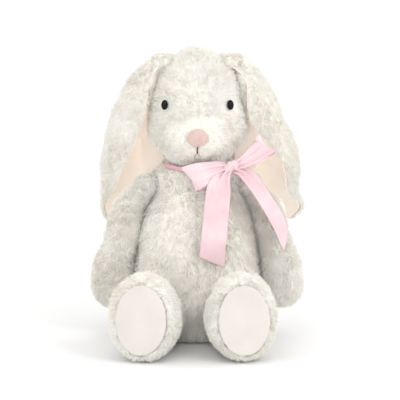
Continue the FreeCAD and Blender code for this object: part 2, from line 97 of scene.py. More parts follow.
def soft_noise(points, size, seed):
    """Smooth noise from -1 to 1 with features about size across."""
    q = points / size
    base = np.floor(q)
    f = q - base
    f = f * f * (3 - 2 * f)
    total = np.zeros(len(points))
    for i in (0, 1):
        for j in (0, 1):
            for k in (0, 1):
                corner = hashed(base + (i, j, k), seed)[:, 0]
                weight = (
                    (f[:, 0] if i else 1 - f[:, 0])
                    * (f[:, 1] if j else 1 - f[:, 1])
                    * (f[:, 2] if k else 1 - f[:, 2])
                )
                total += corner * weight
    return total * 2 - 1


def unit(v):
    return v / np.maximum(np.linalg.norm(v, axis=1, keepdims=True), 1e-12)


# ---------------------------------------------------------------- materials

def principled(name, **inputs):
    """A new material, its node tree and its shader, with plain values set on the shader's own sockets."""
    mat = bpy.data.materials.new(name)
    mat.use_nodes = True
    shader = mat.node_tree.nodes["Principled BSDF"]
    for key, value in inputs.items():
        shader.inputs[key.replace("_", " ")].default_value = value
    return mat, mat.node_tree, shader


def rgb(r, g, b):
    """Linear colour from the usual 0 to 255 numbers."""
    def linear(v):
        v /= 255
        return v / 12.92 if v <= 0.04045 else ((v + 0.055) / 1.055) ** 2.4
    return (linear(r), linear(g), linear(b), 1.0)


def textured(name, low, high, size, bump, depth, detail=4.0, rough=0.9, sheen=0.3, fibre=None, **more):
    """A woven or napped fabric: two tones mixed by noise of that size, and bump of that size and depth."""
    mat, tree, shader = principled(
        name, Roughness=rough, Sheen_Weight=sheen, Sheen_Roughness=0.5, Specular_IOR_Level=0.15, **more
    )
    new, link = tree.nodes.new, tree.links.new
    coords = new("ShaderNodeTexCoord")
    noise = new("ShaderNodeTexNoise")
    noise.inputs["Scale"].default_value = 1 / size
    noise.inputs["Detail"].default_value = detail
    link(coords.outputs["Object"], noise.inputs["Vector"])
    ramp = new("ShaderNodeValToRGB")
    ramp.color_ramp.elements[0].position = 0.3
    ramp.color_ramp.elements[0].color = low
    ramp.color_ramp.elements[1].position = 0.7
    ramp.color_ramp.elements[1].color = high
    link(noise.outputs["Fac"], ramp.inputs["Fac"])
    link(ramp.outputs["Color"], shader.inputs["Base Color"])
    relief = new("ShaderNodeTexNoise")
    relief.inputs["Scale"].default_value = 1 / bump
    relief.inputs["Detail"].default_value = 3.0
    if fibre:
        stretch = new("ShaderNodeMapping")
        stretch.inputs["Scale"].default_value = fibre
        link(coords.outputs["Object"], stretch.inputs["Vector"])
        link(stretch.outputs["Vector"], relief.inputs["Vector"])
    else:
        link(coords.outputs["Object"], relief.inputs["Vector"])
    height = new("ShaderNodeBump")
    height.inputs["Strength"].default_value = 0.6
    height.inputs["Distance"].default_value = depth
    link(relief.outputs["Fac"], height.inputs["Height"])
    link(height.outputs["Normal"], shader.inputs["Normal"])
    return mat


plush = textured("plush", rgb(243, 239, 230), rgb(249, 246, 239), 12 * MM, 1.6 * MM, 1.2 * MM, sheen=0.4)
PILE_TONES = [
    principled(f"pile_{word}", Base_Color=tone, Roughness=0.75, Specular_IOR_Level=0.2,
               Sheen_Weight=0.25, Sheen_Roughness=0.4)[0]
    for word, tone in (
        ("white", rgb(250, 248, 243)), ("ivory", rgb(248, 245, 238)), ("cream", rgb(244, 240, 231)),
    )
]
lining_cloth = textured("lining_cloth", rgb(255, 242, 229), rgb(255, 248, 239), 20 * MM, 1.0 * MM, 0.3 * MM,
                        rough=0.7, sheen=0.5)
sole_cloth = textured("sole_cloth", rgb(217, 210, 204), rgb(223, 217, 211), 25 * MM, 0.9 * MM, 0.25 * MM,
                      rough=0.7, sheen=0.6)
# The lining is given a faint glow, though it is no lamp: painted light that brightens it where it lies in the
# shade behind the head.
lining_glow_shader = lining_cloth.node_tree.nodes["Principled BSDF"]
lining_glow_shader.inputs["Emission Color"].default_value = rgb(255, 242, 232)
lining_glow_shader.inputs["Emission Strength"].default_value = 0.2
nose_cloth = textured("nose_velour", rgb(210, 178, 172), rgb(218, 192, 185), 4 * MM, 0.7 * MM, 0.3 * MM,
                      rough=0.8, sheen=0.8)
thread = textured("thread", rgb(92, 70, 66), rgb(122, 96, 90), 2 * MM, 0.4 * MM, 0.2 * MM,
                  rough=0.6, sheen=0.2)
pale_thread = textured("pale_thread", rgb(196, 176, 166), rgb(214, 196, 186), 2 * MM, 0.4 * MM, 0.2 * MM,
                       rough=0.7, sheen=0.2)
# The satin's paler tone, mixed in by broad noise, is painted highlight: patches of sheen laid into the pink
# colour.
satin = textured("satin", rgb(228, 188, 195), rgb(243, 218, 222), 34 * MM, 0.5 * MM, 0.05 * MM,
                 rough=0.26, sheen=0.2, fibre=(1, 1, 0.08))
# A darker copy of the satin for the band round the neck: painted shade, as the band lies in shadow under the
# chin.
satin_painted_shade = textured("satin_painted_shade", rgb(226, 168, 178), rgb(232, 180, 188), 30 * MM, 0.5 * MM, 0.05 * MM,
                        rough=0.34, sheen=0.2, fibre=(1, 1, 0.08))
for cloth in (satin, satin_painted_shade):
    satin_shader = cloth.node_tree.nodes["Principled BSDF"]
    satin_shader.inputs["Anisotropic"].default_value = 0.6
    satin_shader.inputs["Specular IOR Level"].default_value = 0.75
eye_black = textured("eye_gloss", rgb(4, 4, 4), rgb(10, 8, 8), 6 * MM, 4 * MM, 0.02 * MM,
                     rough=0.25, sheen=0.0)
eye_shader = eye_black.node_tree.nodes["Principled BSDF"]
eye_shader.inputs["Coat Weight"].default_value = 0.25
eye_shader.inputs["Coat Roughness"].default_value = 0.03
eye_shader.inputs["Specular IOR Level"].default_value = 0.1
washer_white = textured("washer", rgb(226, 226, 222), rgb(238, 238, 235), 8 * MM, 1 * MM, 0.02 * MM,
                        rough=0.4, sheen=0.0)


# ---------------------------------------------------------------- meshes

def new_mesh(name, points, faces, material, smooth=True):
    """A mesh object from rows of points and rows of 3 or 4 corners."""
    mesh = bpy.data.meshes.new(name)
    mesh.vertices.add(len(points))
    mesh.vertices.foreach_set("co", np.ascontiguousarray(points, np.float32).ravel())
    corners = faces.shape[1]
    mesh.loops.add(faces.size)
    mesh.loops.foreach_set("vertex_index", np.ascontiguousarray(faces, np.int32).ravel())
    mesh.polygons.add(len(faces))
    mesh.polygons.foreach_set("loop_start", np.arange(0, faces.size, corners, dtype=np.int32))
    mesh.polygons.foreach_set("use_smooth", np.full(len(faces), smooth))
    mesh.update(calc_edges=True)
    mesh.validate()
    for m in material if isinstance(material, list) else [material]:
        mesh.materials.append(m)
    ob = bpy.data.objects.new(name, mesh)
    bpy.context.scene.collection.objects.link(ob)
    return ob


def points_of(ob):
    co = np.empty(len(ob.data.vertices) * 3, np.float32)
    ob.data.vertices.foreach_get("co", co)
    return co.reshape(-1, 3).astype(float)


def normals_of(ob):
    no = np.empty(len(ob.data.vertices) * 3, np.float32)
    ob.data.vertex_normals.foreach_get("vector", no)
    return no.reshape(-1, 3).astype(float)


def move_points(ob, points):
    ob.data.vertices.foreach_set("co", np.ascontiguousarray(points, np.float32).ravel())
    ob.data.update()


def applied(ob):
    """ob with its modifiers made part of its mesh."""
    graph = bpy.context.evaluated_depsgraph_get()
    mesh = bpy.data.meshes.new_from_object(ob.evaluated_get(graph))
    old = ob.data
    ob.modifiers.clear()
    ob.data = mesh
    bpy.data.meshes.remove(old)
    return ob


def largest_part(ob):
    """Drops every loose part but the one with the largest box."""
    count = len(ob.data.vertices)
    label = np.arange(count)
    edges = np.empty(len(ob.data.edges) * 2, np.int32)
    ob.data.edges.foreach_get("vertices", edges)
    edges = edges.reshape(-1, 2)
    while True:
        low = np.minimum(label[edges[:, 0]], label[edges[:, 1]])
        before = label.copy()
        np.minimum.at(label, edges[:, 0], low)
        np.minimum.at(label, edges[:, 1], low)
        label = label[label]
        if (label == before).all():
            break
    points = points_of(ob)
    best = max(np.unique(label), key=lambda g: np.ptp(points[label == g], axis=0).prod())
    keep = label == best
    if keep.all():
        return ob
    index = np.cumsum(keep) - 1
    faces = np.array([p.vertices[:] for p in ob.data.polygons if keep[p.vertices[0]]])
    mats = list(ob.data.materials)
    name = ob.name
    bpy.data.objects.remove(ob)
    return new_mesh(name, points[keep], index[faces], mats)


def ball(centre, semi, rings=24):
    """Points and triangles of an ellipsoid."""
    v, u = np.meshgrid(np.linspace(0, np.pi, rings), np.linspace(0, 2 * np.pi, 2 * rings, endpoint=False),
                       indexing="ij")
    points = np.stack((np.sin(v) * np.cos(u), np.sin(v) * np.sin(u), np.cos(v)), -1).reshape(-1, 3)
    i = np.arange(rings - 1)[:, None] * 2 * rings
    j = np.arange(2 * rings)[None, :]
    k = (j + 1) % (2 * rings)
    a, b, c, d = (np.broadcast_to(x, (rings - 1, 2 * rings)).ravel() for x in (
        i + j, i + 2 * rings + j, i + 2 * rings + k, i + k))
    return points * semi + centre, np.concatenate((np.stack((a, b, c), 1), np.stack((a, c, d), 1)))


def from_cad(name, nodes, voxel, smooth, material, shrink=0.0, bulges=()):
    """One even, closed mesh round some CAD nodes and extra ellipsoids.

    Their joins are smoothed and the surface is moved in by shrink.
    """
    points, faces, start = [], [], 0
    for node in nodes:
        mesh = frame["nodes"][node].data
        mesh.calc_loop_triangles()
        points.append(np.array([v.co[:] for v in mesh.vertices]))
        faces.append(np.array([t.vertices[:] for t in mesh.loop_triangles]) + start)
        start += len(points[-1])
    for centre, semi in bulges:
        more, triangles = ball(np.array(centre), np.array(semi))
        points.append(more)
        faces.append(triangles + start)
        start += len(more)
    ob = new_mesh(name, np.concatenate(points), np.concatenate(faces), material)
    remesh = ob.modifiers.new("remesh", "REMESH")
    remesh.mode = "VOXEL"
    remesh.voxel_size = voxel
    applied(ob)
    ob = largest_part(ob)
    relax = ob.modifiers.new("relax", "SMOOTH")
    relax.factor = 0.5
    relax.iterations = smooth
    applied(ob)
    if shrink:
        move_points(ob, points_of(ob) - normals_of(ob) * shrink)
    for face in ob.data.polygons:
        face.use_smooth = True
    return ob


def grid_faces(rows, columns, closed):
    """The four-cornered faces of a grid of points, whose last column joins the first if it is closed."""
    i = np.arange(rows - 1)[:, None] * columns
    j = np.arange(columns if closed else columns - 1)[None, :]
    k = (j + 1) % columns
    return np.stack((i + j, i + k, i + columns + k, i + columns + j), -1).reshape(-1, 4)


def lathe(name, heights, radii, sides, material):
    """A closed solid of revolution round the body axis."""
    turn = np.linspace(0, 2 * np.pi, sides, endpoint=False)
    z, r = np.repeat(heights, sides), np.repeat(radii, sides)
    t = np.tile(turn, len(heights))
    points = np.stack((r * np.sin(t), AXIS_Y - r * np.cos(t), z), 1)
    return new_mesh(name, points, grid_faces(len(heights), sides, closed=True), material)


def tree_of(ob):
    """A search tree of a mesh's faces."""
    mesh = ob.data
    return BVHTree.FromPolygons([v.co[:] for v in mesh.vertices], [p.vertices[:] for p in mesh.polygons])


def clear_of(tree, gap):
    """A test for pile: which roots stand further than gap from a mesh."""
    return lambda p, n: np.array([tree.find_nearest(Vector(q))[3] > gap for q in p])


def downward(p, n):
    """The way the pile of a hanging or upright part is brushed."""
    return np.tile(DOWN, (len(p), 1))


def tufts(ob, size, height, seed, where=None):
    """Pushes the surface out into soft tufts, and in between them."""
    points, normals = points_of(ob), normals_of(ob)
    away = nearest_tuft(points, size, seed)[0]
    lift = (0.5 - away / size) + 0.6 * soft_noise(points, size * 2.3, seed + 1)
    if where is not None:
        lift *= where(points)
    move_points(ob, points + normals * (lift * height)[:, None])


def surface_samples(ob, count, seed):
    """count scattered places on a mesh, evenly by area, with their normals."""
    mesh = ob.data
    mesh.calc_loop_triangles()
    tris = np.empty(len(mesh.loop_triangles) * 3, np.int32)
    mesh.loop_triangles.foreach_get("vertices", tris)
    tris = tris.reshape(-1, 3)
    p, n = points_of(ob), normals_of(ob)
    a, b, c = p[tris[:, 0]], p[tris[:, 1]], p[tris[:, 2]]
    area = np.linalg.norm(np.cross(b - a, c - a), axis=1)
    chance = np.random.default_rng(seed)
    pick = np.searchsorted(np.cumsum(area) / area.sum(), chance.random(count))
    pick = np.minimum(pick, len(tris) - 1)
    u, v = chance.random(count), chance.random(count)
    flip = u + v > 1
    u[flip], v[flip] = 1 - u[flip], 1 - v[flip]
    w = 1 - u - v
    t = tris[pick]
    at = p[t[:, 0]] * w[:, None] + p[t[:, 1]] * u[:, None] + p[t[:, 2]] * v[:, None]
    normal = unit(n[t[:, 0]] * w[:, None] + n[t[:, 1]] * u[:, None] + n[t[:, 2]] * v[:, None])
    return at, normal, chance


LOWEST_TIP, LOWEST_ROOT = 0.6 * MM, 0.3 * MM


def pile(name, base, count, comb, length=4.2 * MM, width=0.75 * MM, stand=0.55, tuft=7 * MM, pull=0.5,
         seed=1, tones=PILE_TONES, keep=None, shorten=None):
    """The cut pile of a plush: closed, three-sided spikes that lean as comb says and draw together in tufts."""
    root, normal, chance = surface_samples(base, count, seed)
    if keep is not None:
        kept = keep(root, normal)
        root, normal = root[kept], normal[kept]
    n = len(root)
    lean = comb(root, normal)
    lean = lean - normal * (lean * normal).sum(1, keepdims=True)
    swirl = np.stack([soft_noise(root, 16 * MM, seed + k) for k in (11, 12, 13)], 1)
    stray = chance.normal(size=(n, 3))
    away, centre, tag = nearest_tuft(root, tuft, seed + 5)
    direction = unit(normal * stand + unit(lean) * 0.55 + swirl * 0.6 + stray * 0.22)
    steep = (direction * normal).sum(1)
    direction = unit(direction + normal * np.maximum(0.25 - steep, 0)[:, None])
    size = length * (0.75 + 0.4 * chance.random(n)) * (0.85 + 0.3 * tag)
    if shorten is not None:
        size = size * shorten(root)
    centre = centre + normal * length * 0.5
    drawn = (pull * np.clip(size / length, 0, 1))[:, None]
    tip = root + direction * size[:, None] + (centre - root) * drawn * 0.5
    tip[:, 2] = np.maximum(tip[:, 2], LOWEST_TIP)
    side = unit(np.cross(direction, normal + stray * 0.3))
    other = unit(np.cross(direction, side))
    turn = chance.random(n) * 2 * np.pi
    corners = []
    for k in range(3):
        a = (turn + k * 2 * np.pi / 3)[:, None]
        corners.append(root - direction * 0.8 * MM + (side * np.cos(a) + other * np.sin(a)) * width * 0.58)
    points = np.stack((*corners, tip), 1).reshape(-1, 3)
    points[:, 2] = np.maximum(points[:, 2], LOWEST_ROOT)
    first = np.arange(n)[:, None] * 4
    spike = ((0, 1, 3), (1, 2, 3), (2, 0, 3), (0, 2, 1))
    faces = np.concatenate([first + f for f in spike], 1).reshape(-1, 3)
    ob = new_mesh(name, points, faces, list(tones), smooth=False)
    if len(tones) > 1:
        shade = tag + 0.5 * soft_noise(root, 30 * MM, seed + 3) + 0.25 * (chance.random(n) - 0.5)
        slots = np.where(shade > 0.62, 0, np.where(shade > 0.12, 1, 2)).astype(np.int32)
        ob.data.polygons.foreach_set("material_index", np.repeat(slots, 4))
        ob.data.update()
    return ob


def seam(across, width, depth, where=1.0):
    """How far a sewn seam draws the surface in."""
    return -depth * np.exp(-((across / width) ** 2)) * where


# ---------------------------------------------------------------- torso

def radius_by_height(nodes, heights, window=2.5 * MM):
    """The outer radius of some CAD nodes round the body axis at each height."""
    points = np.concatenate([np.array([v.co[:] for v in frame["nodes"][n].data.vertices]) for n in nodes])
    radius = np.hypot(points[:, 0], points[:, 1] - AXIS_Y)
    found = []
    for z in heights:
        near = abs(points[:, 2] - z) < window
        while near.sum() < 8:
            window *= 1.5
            near = abs(points[:, 2] - z) < window
        found.append(radius[near].max())
    return np.array(found)


PILE_DEPTH = 2.2 * MM
torso_panels = ("torso_back_left", "torso_back_right", "torso_front_left", "torso_front_right")
torso_top = max(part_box(n)[1].z for n in torso_panels)
stations = np.array((1, 6, 14, 24, 36, 50, 66, 84, 102, 120, 136, 150, 160, 168, 174)) * MM
stations = stations[stations < torso_top + 2 * MM]
radii = radius_by_height(torso_panels, stations) - PILE_DEPTH
fine = np.linspace(stations[0], stations[-1], 120)
NECK_RISE = 9 * MM
heights = np.concatenate(([0.8 * MM] * 3, fine, fine[-1] + np.array((0.45, 0.8, 1.0, 1.0)) * NECK_RISE))
profile = np.interp(fine, stations, radii)
for _ in range(6):
    profile[1:-1] = (profile[:-2] + 2 * profile[1:-1] + profile[2:]) / 4
profile = np.concatenate(([0.05 * MM, profile[0] * 0.5, profile[0] * 0.93], profile,
                          [profile[-1] * 0.97, profile[-1] * 0.8, profile[-1] * 0.4, 0.05 * MM]))
TORSO_SIDES = 260
torso = lathe("torso_plush", heights, profile, TORSO_SIDES, plush)


def off_the_floor(points):
    """0 at the floor and 1 from a little above it, so that the seat and the heels stay flat."""
    return np.clip(points[:, 2] / (8 * MM), 0, 1)


def torso_seams(points):
    """The seams down the middle of the belly, down the back and down each side."""
    x, y = points[:, 0], points[:, 1] - AXIS_Y
    low = np.clip((0.16 - points[:, 2]) / 0.02, 0, 1)
    middle = seam(x, 1.6 * MM, 1.6 * MM, low)
    sides = seam(y, 1.8 * MM, 1.2 * MM, low)
    return middle + sides


SHOULDER_Z, FLANK_Z = 163 * MM, 122 * MM
normals = normals_of(torso)
points = points_of(torso)
flat_seat = np.clip(points[:, 2] / (10 * MM), 0, 1)
slump = soft_noise(points, 45 * MM, 3) * 1.6 * MM * flat_seat
points += normals * (torso_seams(points) + slump)[:, None]
for sign in (-1, 1):
    beside = np.clip(sign * points[:, 0] / (30 * MM), 0, 1) ** 1.5
    up, along = points[:, 2], points[:, 1] - AXIS_Y
    shoulder = np.exp(-(((up - SHOULDER_Z) / (14 * MM)) ** 2) - ((along + 8 * MM) / (20 * MM)) ** 2)
    flank = np.exp(-(((up - FLANK_Z) / (22 * MM)) ** 2) - (along / (26 * MM)) ** 2)
    points[:, 0] += sign * beside * (11 * MM * shoulder + 5 * MM * flank)
move_points(torso, points)
tufts(torso, 9 * MM, 1.6 * MM, 5, where=off_the_floor)
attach(torso, "torso")
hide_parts(*torso_panels, "torso_stuffing", "seat_pellet_bag")

torso_pile = pile(
    "torso_pile", torso, 49000, downward, seed=21,
    keep=lambda p, n: (p[:, 2] > 1.5 * MM) & (n[:, 2] < 0.9),
    shorten=lambda p: 1 - 0.45 * np.exp(-((p[:, 0] / (2 * MM)) ** 2)),
)
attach(torso_pile, "torso")

neck = from_cad("neck_plush", ["neck_wad"], 2.5 * MM, 4, plush, shrink=1 * MM)
neck_pile = pile("neck_pile", neck, 7000, lambda p, n: n + 0.3 * DOWN, length=6 * MM, width=1.0 * MM,
                 stand=0.8, seed=27, keep=lambda p, n: abs(n[:, 2]) < 0.8)
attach(neck, "neck")
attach(neck_pile, "neck")
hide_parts("neck_wad")


# ---------------------------------------------------------------- head

nose_low, nose_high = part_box("nose")
NOSE = np.array(((nose_low.x + nose_high.x) / 2, nose_low.y, (nose_low.z + nose_high.z) / 2))
EYES = [np.array(sum(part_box(f"eye_{s}"), Vector()) / 2) for s in ("left", "right")]
head_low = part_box("head_left")[0]
chin = ((0, AXIS_Y - 18 * MM, head_low.z + 11 * MM), (36 * MM, 34 * MM, 17.5 * MM))
head = from_cad("head_plush", ["head_left", "head_right", "head_stuffing"], 2.2 * MM, 14, plush,
                shrink=PILE_DEPTH, bulges=[chin])
points, normals = points_of(head), normals_of(head)
above = np.clip((points[:, 2] - NOSE[2]) / (12 * MM), 0, 1)
brow = sum(np.exp(-(((points - e) ** 2).sum(1)) / (9 * MM) ** 2) for e in EYES)
points += normals * (
    seam(points[:, 0], 1.6 * MM, 1.3 * MM, above) - 1.6 * MM * brow
    + soft_noise(points, 35 * MM, 8) * 0.9 * MM
)[:, None]
move_points(head, points)
tufts(head, 8.5 * MM, 1.4 * MM, 9)
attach(head, "head")
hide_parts("head_left", "head_right", "head_stuffing")


def swept_from_nose(p, n):
    """The way the pile of a face is brushed: back and down from the nose."""
    return unit(p - NOSE) + 0.5 * DOWN


def short_on_face(p):
    """The pile is trimmed round the nose, the mouth and the eyes."""
    nose = np.linalg.norm((p - NOSE) * (1, 1, 0.9), axis=1)
    size = np.clip(0.35 + (nose - 14 * MM) / (40 * MM), 0.3, 1)
    for e in EYES:
        size = np.minimum(size, np.clip(0.25 + (np.linalg.norm(p - e, axis=1) - 5 * MM) / (12 * MM), 0.2, 1))
    return size * (1 - 0.4 * np.exp(-((p[:, 0] / (2 * MM)) ** 2)))


head_pile = pile(
    "head_pile", head, 46000, swept_from_nose, length=4.0 * MM, tuft=6.5 * MM, seed=31, shorten=short_on_face,
    keep=lambda p, n: (np.linalg.norm(p - NOSE, axis=1) > 9 * MM)
    & (np.minimum(*[np.linalg.norm(p - e, axis=1) for e in EYES]) > 4.5 * MM),
)
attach(head_pile, "head")

for side in ("left", "right"):
    for node, material in ((f"eye_{side}", eye_black), (f"eye_washer_{side}", washer_white)):
        ob = frame["nodes"][node]
        ob.data.materials.clear()
        ob.data.materials.append(material)

nose = from_cad("nose_plush", ["nose"], 0.9 * MM, 6, nose_cloth)
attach(nose, "head")
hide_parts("nose")


# ---------------------------------------------------------------- ears, arms, legs and tail

def inner_edge(node, height):
    """The place on a CAD node that lies nearest the middle of the body at a height."""
    points = np.array([v.co[:] for v in frame["nodes"][node].data.vertices])
    near = points[abs(points[:, 2] - height) < 5 * MM]
    return near[np.argmin(abs(near[:, 0]))]


for side, sign in (("left", -1), ("right", 1)):
    body = f"ear_{side}"
    root = PIVOTS[f"ear_{side}_lift"]
    under_root = (root + (sign * 1 * MM, 0, -7 * MM), (15 * MM, 15 * MM, 9 * MM))
    beside_head = (root + (sign * 14 * MM, -7 * MM, -27 * MM), (8.5 * MM, 9 * MM, 27 * MM))
    tuck = inner_edge(f"ear_outer_{side}", 176 * MM) + (-sign * 4 * MM, 0.4 * MM, 0)
    behind_head = (tuck, (14 * MM, 2.4 * MM, 31 * MM))
    outer = from_cad(f"ear_{side}_plush", [f"ear_outer_{side}"], 1.8 * MM, 5, plush, shrink=0.6 * MM,
                     bulges=[under_root, beside_head, behind_head])
    tufts(outer, 8 * MM, 0.9 * MM, 40 + sign)
    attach(outer, body)
    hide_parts(f"ear_outer_{side}")
    tuck = inner_edge(f"ear_lining_{side}", 176 * MM) + (-sign * 4 * MM, -0.6 * MM, 0)
    behind_head = (tuck, (13 * MM, 1.5 * MM, 30 * MM))
    lining = from_cad(f"ear_{side}_lining", [f"ear_lining_{side}"], 1.2 * MM, 3, lining_cloth,
                      bulges=[behind_head])
    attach(lining, body)
    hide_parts(f"ear_lining_{side}")
    fur = pile(f"ear_{side}_pile", outer, 30000, downward, length=4.0 * MM, tuft=6 * MM, seed=50 + sign,
               keep=clear_of(tree_of(lining), 1.5 * MM))
    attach(fur, body)

    body = f"arm_{side}"
    arm = from_cad(f"arm_{side}_plush", [f"arm_skin_{side}", f"arm_stuffing_{side}"], 1.9 * MM, 5, plush,
                   shrink=PILE_DEPTH * 0.8)
    tufts(arm, 8.5 * MM, 1.3 * MM, 60 + sign)
    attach(arm, body)
    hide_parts(f"arm_skin_{side}", f"arm_stuffing_{side}")
    fur = pile(f"arm_{side}_pile", arm, 20000, downward, seed=70 + sign)
    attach(fur, body)

    body = f"leg_{side}"
    leg = from_cad(f"leg_{side}_plush", [f"leg_skin_{side}", f"leg_stuffing_{side}"], 2.1 * MM, 6, plush,
                   shrink=PILE_DEPTH * 0.8)
    sole = from_cad(f"sole_{side}", [f"sole_pad_{side}"], 1.2 * MM, 4, sole_cloth)
    tufts(leg, 9 * MM, 1.5 * MM, 80 + sign, where=off_the_floor)
    fur = pile(f"leg_{side}_pile", leg, 42000,
               lambda p, n: unit(np.array([(0, 0.6, 0)]) + downward(p, n) * 0.6),
               seed=90 + sign, keep=clear_of(tree_of(sole), 1.3 * MM))
    for piece, slot_name in ((leg, "plush"), (fur, "plush"), (sole, "sole_pad")):
        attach(piece, body)
    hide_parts(f"leg_skin_{side}", f"leg_stuffing_{side}")
    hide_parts(f"sole_pad_{side}")

tail = from_cad("tail_plush", ["tail_skin", "tail_stuffing"], 2 * MM, 4, plush, shrink=PILE_DEPTH)
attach(tail, "torso")
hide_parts("tail_skin", "tail_stuffing")
tail_pile = pile("tail_pile", tail, 9000, lambda p, n: n + 0.4 * DOWN, length=9 * MM, stand=0.9, tuft=9 * MM,
                 seed=101)
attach(tail_pile, "torso")


# ---------------------------------------------------------------- ribbon and mouth

RIBBON_WIDTH = 25 * MM


def smooth_path(rows, count):
    """count rows along a smooth line through rows of numbers, evenly in the first three."""
    rows = np.array(rows, float)
    ends = np.concatenate((2 * rows[:1] - rows[1:2], rows, 2 * rows[-1:] - rows[-2:-1]))
    found = []
    for a, b, c, d in zip(ends, ends[1:], ends[2:], ends[3:]):
        t = np.linspace(0, 1, 24, endpoint=False)[:, None]
        bent, curled = 2 * a - 5 * b + 4 * c - d, 3 * b - a - 3 * c + d
        found.append(0.5 * (2 * b + (c - a) * t + bent * t**2 + curled * t**3))
    line = np.concatenate(found + [rows[-1:]])
    run = np.concatenate(([0], np.cumsum(np.linalg.norm(np.diff(line[:, :3], axis=0), axis=1))))
    even = np.linspace(0, run[-1], count)
    return np.stack([np.interp(even, run, line[:, k]) for k in range(line.shape[1])], 1), run[-1]


def strip(name, rows, pleats=2.5, slant=0.0, count=90, across=25, wave=0.0, shape=None):
    """A satin strip along rows of place, width direction and width, drawn into pleats where it is narrow."""
    line, run = smooth_path(rows, count)
    centre, side, width = line[:, :3], unit(line[:, 3:6]), line[:, 6]
    along = unit(np.gradient(centre, axis=0))
    side = unit(side - along * (side * along).sum(1, keepdims=True))
    face = np.cross(along, side)
    t = np.linspace(-1, 1, across)
    drawn = np.clip(1 - width / RIBBON_WIDTH, 0, 1)
    deep = np.sqrt(drawn) * 2.2 * MM
    ripple = np.cos(pleats * np.pi * t)[None, :] * deep[:, None]
    cup = -(t**2)[None, :] * 0.9 * MM
    s = np.linspace(0, 1, count)
    flutter = wave * np.sin(2 * np.pi * 1.6 * s)[:, None] * (0.5 + 0.5 * t[None, :])
    points = centre[:, None, :] + side[:, None, :] * (t[None, :, None] * width[:, None, None] / 2)
    points = points + face[:, None, :] * (ripple + cup + flutter)[:, :, None]
    if slant:
        cut = np.clip((s - 0.8) / 0.2, 0, 1) ** 2
        points = points + along[:, None, :] * (cut[:, None] * t[None, :] * slant)[:, :, None]
    faces = grid_faces(count, across, closed=False)
    points = points.reshape(-1, 3)
    ob = new_mesh(name, points if shape is None else shape(points), faces, satin)
    thick = ob.modifiers.new("thick", "SOLIDIFY")
    thick.thickness = 0.35 * MM
    thick.offset = 0
    applied(ob)
    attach(ob, "torso")
    return ob, run


knot_low, knot_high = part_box("ribbon_knot")
KNOT = np.array((knot_low + knot_high) / 2) + (0, 0, 2 * MM)


def from_knot(*rows):
    """Rows given in millimetres from the knot, as strip wants them."""
    return [(*(KNOT + np.array(r[:3]) * MM), *r[3:6], r[6] * MM) for r in rows]


def folded_askew(points):
    """The left loop's outer fold leans: its lower corner lies nearer the knot."""
    out = np.clip((KNOT[0] - 18 * MM - points[:, 0]) / (26 * MM), 0, 1)
    low = np.clip((KNOT[2] - 4 * MM - points[:, 2]) / (20 * MM), 0, 1)
    points[:, 0] += 10 * MM * out * low
    return points


left_loop, left_run = strip("ribbon_loop_left_satin", from_knot(
    (-4, -1.5, 0, -.1, 0, 1, 8), (-14, -6.5, -1, -.2, .1, 1, 15), (-30, -8, -6, -.3, .15, .95, 23),
    (-42, -5, -10.5, -.36, .1, .93, 25), (-44.5, -1.5, -11.5, -.36, .1, .93, 25),
    (-42, 1, -12.5, -.3, 0, .95, 25),
    (-28, 0.5, -9.5, -.2, 0, 1, 22), (-13, 0.5, -4, -.1, 0, 1, 14), (-4, 1, -1, 0, 0, 1, 8)), count=130,
    shape=folded_askew)
right_loop, right_run = strip("ribbon_loop_right_satin", from_knot(
    (4, -1.5, 1, -.5, .3, .8, 8), (13, -5, 6, -.55, .5, .6, 14), (24, -4, 14, -.6, .62, .5, 21),
    (32, 0, 20, -.62, .64, .46, 24), (34, 3.5, 21, -.62, .64, .46, 24), (31, 6.5, 18, -.6, .66, .46, 24),
    (21, 6, 9, -.5, .6, .6, 19), (11, 3, 3, -.4, .4, .8, 13), (4, 1, 0, -.3, .2, .9, 8)), count=130)
left_tail, left_tail_run = strip("ribbon_tail_left_satin", from_knot(
    (-3, -2, -2, 1, 0, .1, 8), (-8, -8, -8, 1, .05, .1, 15), (-12, -12.5, -18, 1, .05, .05, 23),
    (-14, -15, -35, 1, .08, .03, 25), (-16.5, -16, -60, 1, -.05, .02, 25), (-19.5, -18, -93, 1, .05, 0, 25)),
    slant=4 * MM, wave=1.2 * MM)
right_tail, right_tail_run = strip("ribbon_tail_right_satin", from_knot(
    (3, -2, -2, .9, .1, .5, 8), (12, -4, -5, .7, .5, .5, 13), (24, -3, -17, .55, .75, .35, 20),
    (36, 0, -35, .48, .84, .26, 24), (47, 4, -56, .42, .88, .22, 25), (55, 7, -76, .36, .91, .2, 25)),
    slant=-5 * MM, wave=1.0 * MM)

turn = np.linspace(0, 2 * np.pi, 181)
band_low, band_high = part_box("ribbon_band")
BAND_RADIUS = (band_high.x - band_low.x) / 2 - 0.6 * MM
fold = np.linspace(0, 1, 33)
FOLD_LAYERS = 4
rise = abs((fold * FOLD_LAYERS) % 2 - 1) * 2 - 1
rise = np.sign(rise) * (1 - (1 - abs(rise)) ** 1.2)
out = fold * 1.6 * MM + 0.25 * MM * np.sin(fold * 40)
points = []
BAND_HALF_HEIGHT = 2.2 * MM
band_middle = (band_low.z + band_high.z) / 2 + 1 * MM
for a in turn[:-1]:
    height = band_middle + rise * BAND_HALF_HEIGHT + 0.6 * MM * math.sin(5 * a)
    radius = BAND_RADIUS - 0.8 * MM + out + 0.3 * MM * np.sin(9 * a + fold * 7)
    points.append(np.stack((radius * math.sin(a), AXIS_Y - radius * math.cos(a), height), 1))
points = np.stack(points)
rings, across = points.shape[:2]
i = np.arange(rings)[:, None]
j = np.arange(across - 1)[None, :]
k = (i + 1) % rings
faces = np.stack((i * across + j, k * across + j, k * across + j + 1, i * across + j + 1), -1).reshape(-1, 4)
band = new_mesh("ribbon_band_satin", points.reshape(-1, 3), faces, satin_painted_shade)
thick = band.modifiers.new("thick", "SOLIDIFY")
thick.thickness = 0.25 * MM
applied(band)
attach(band, "torso")

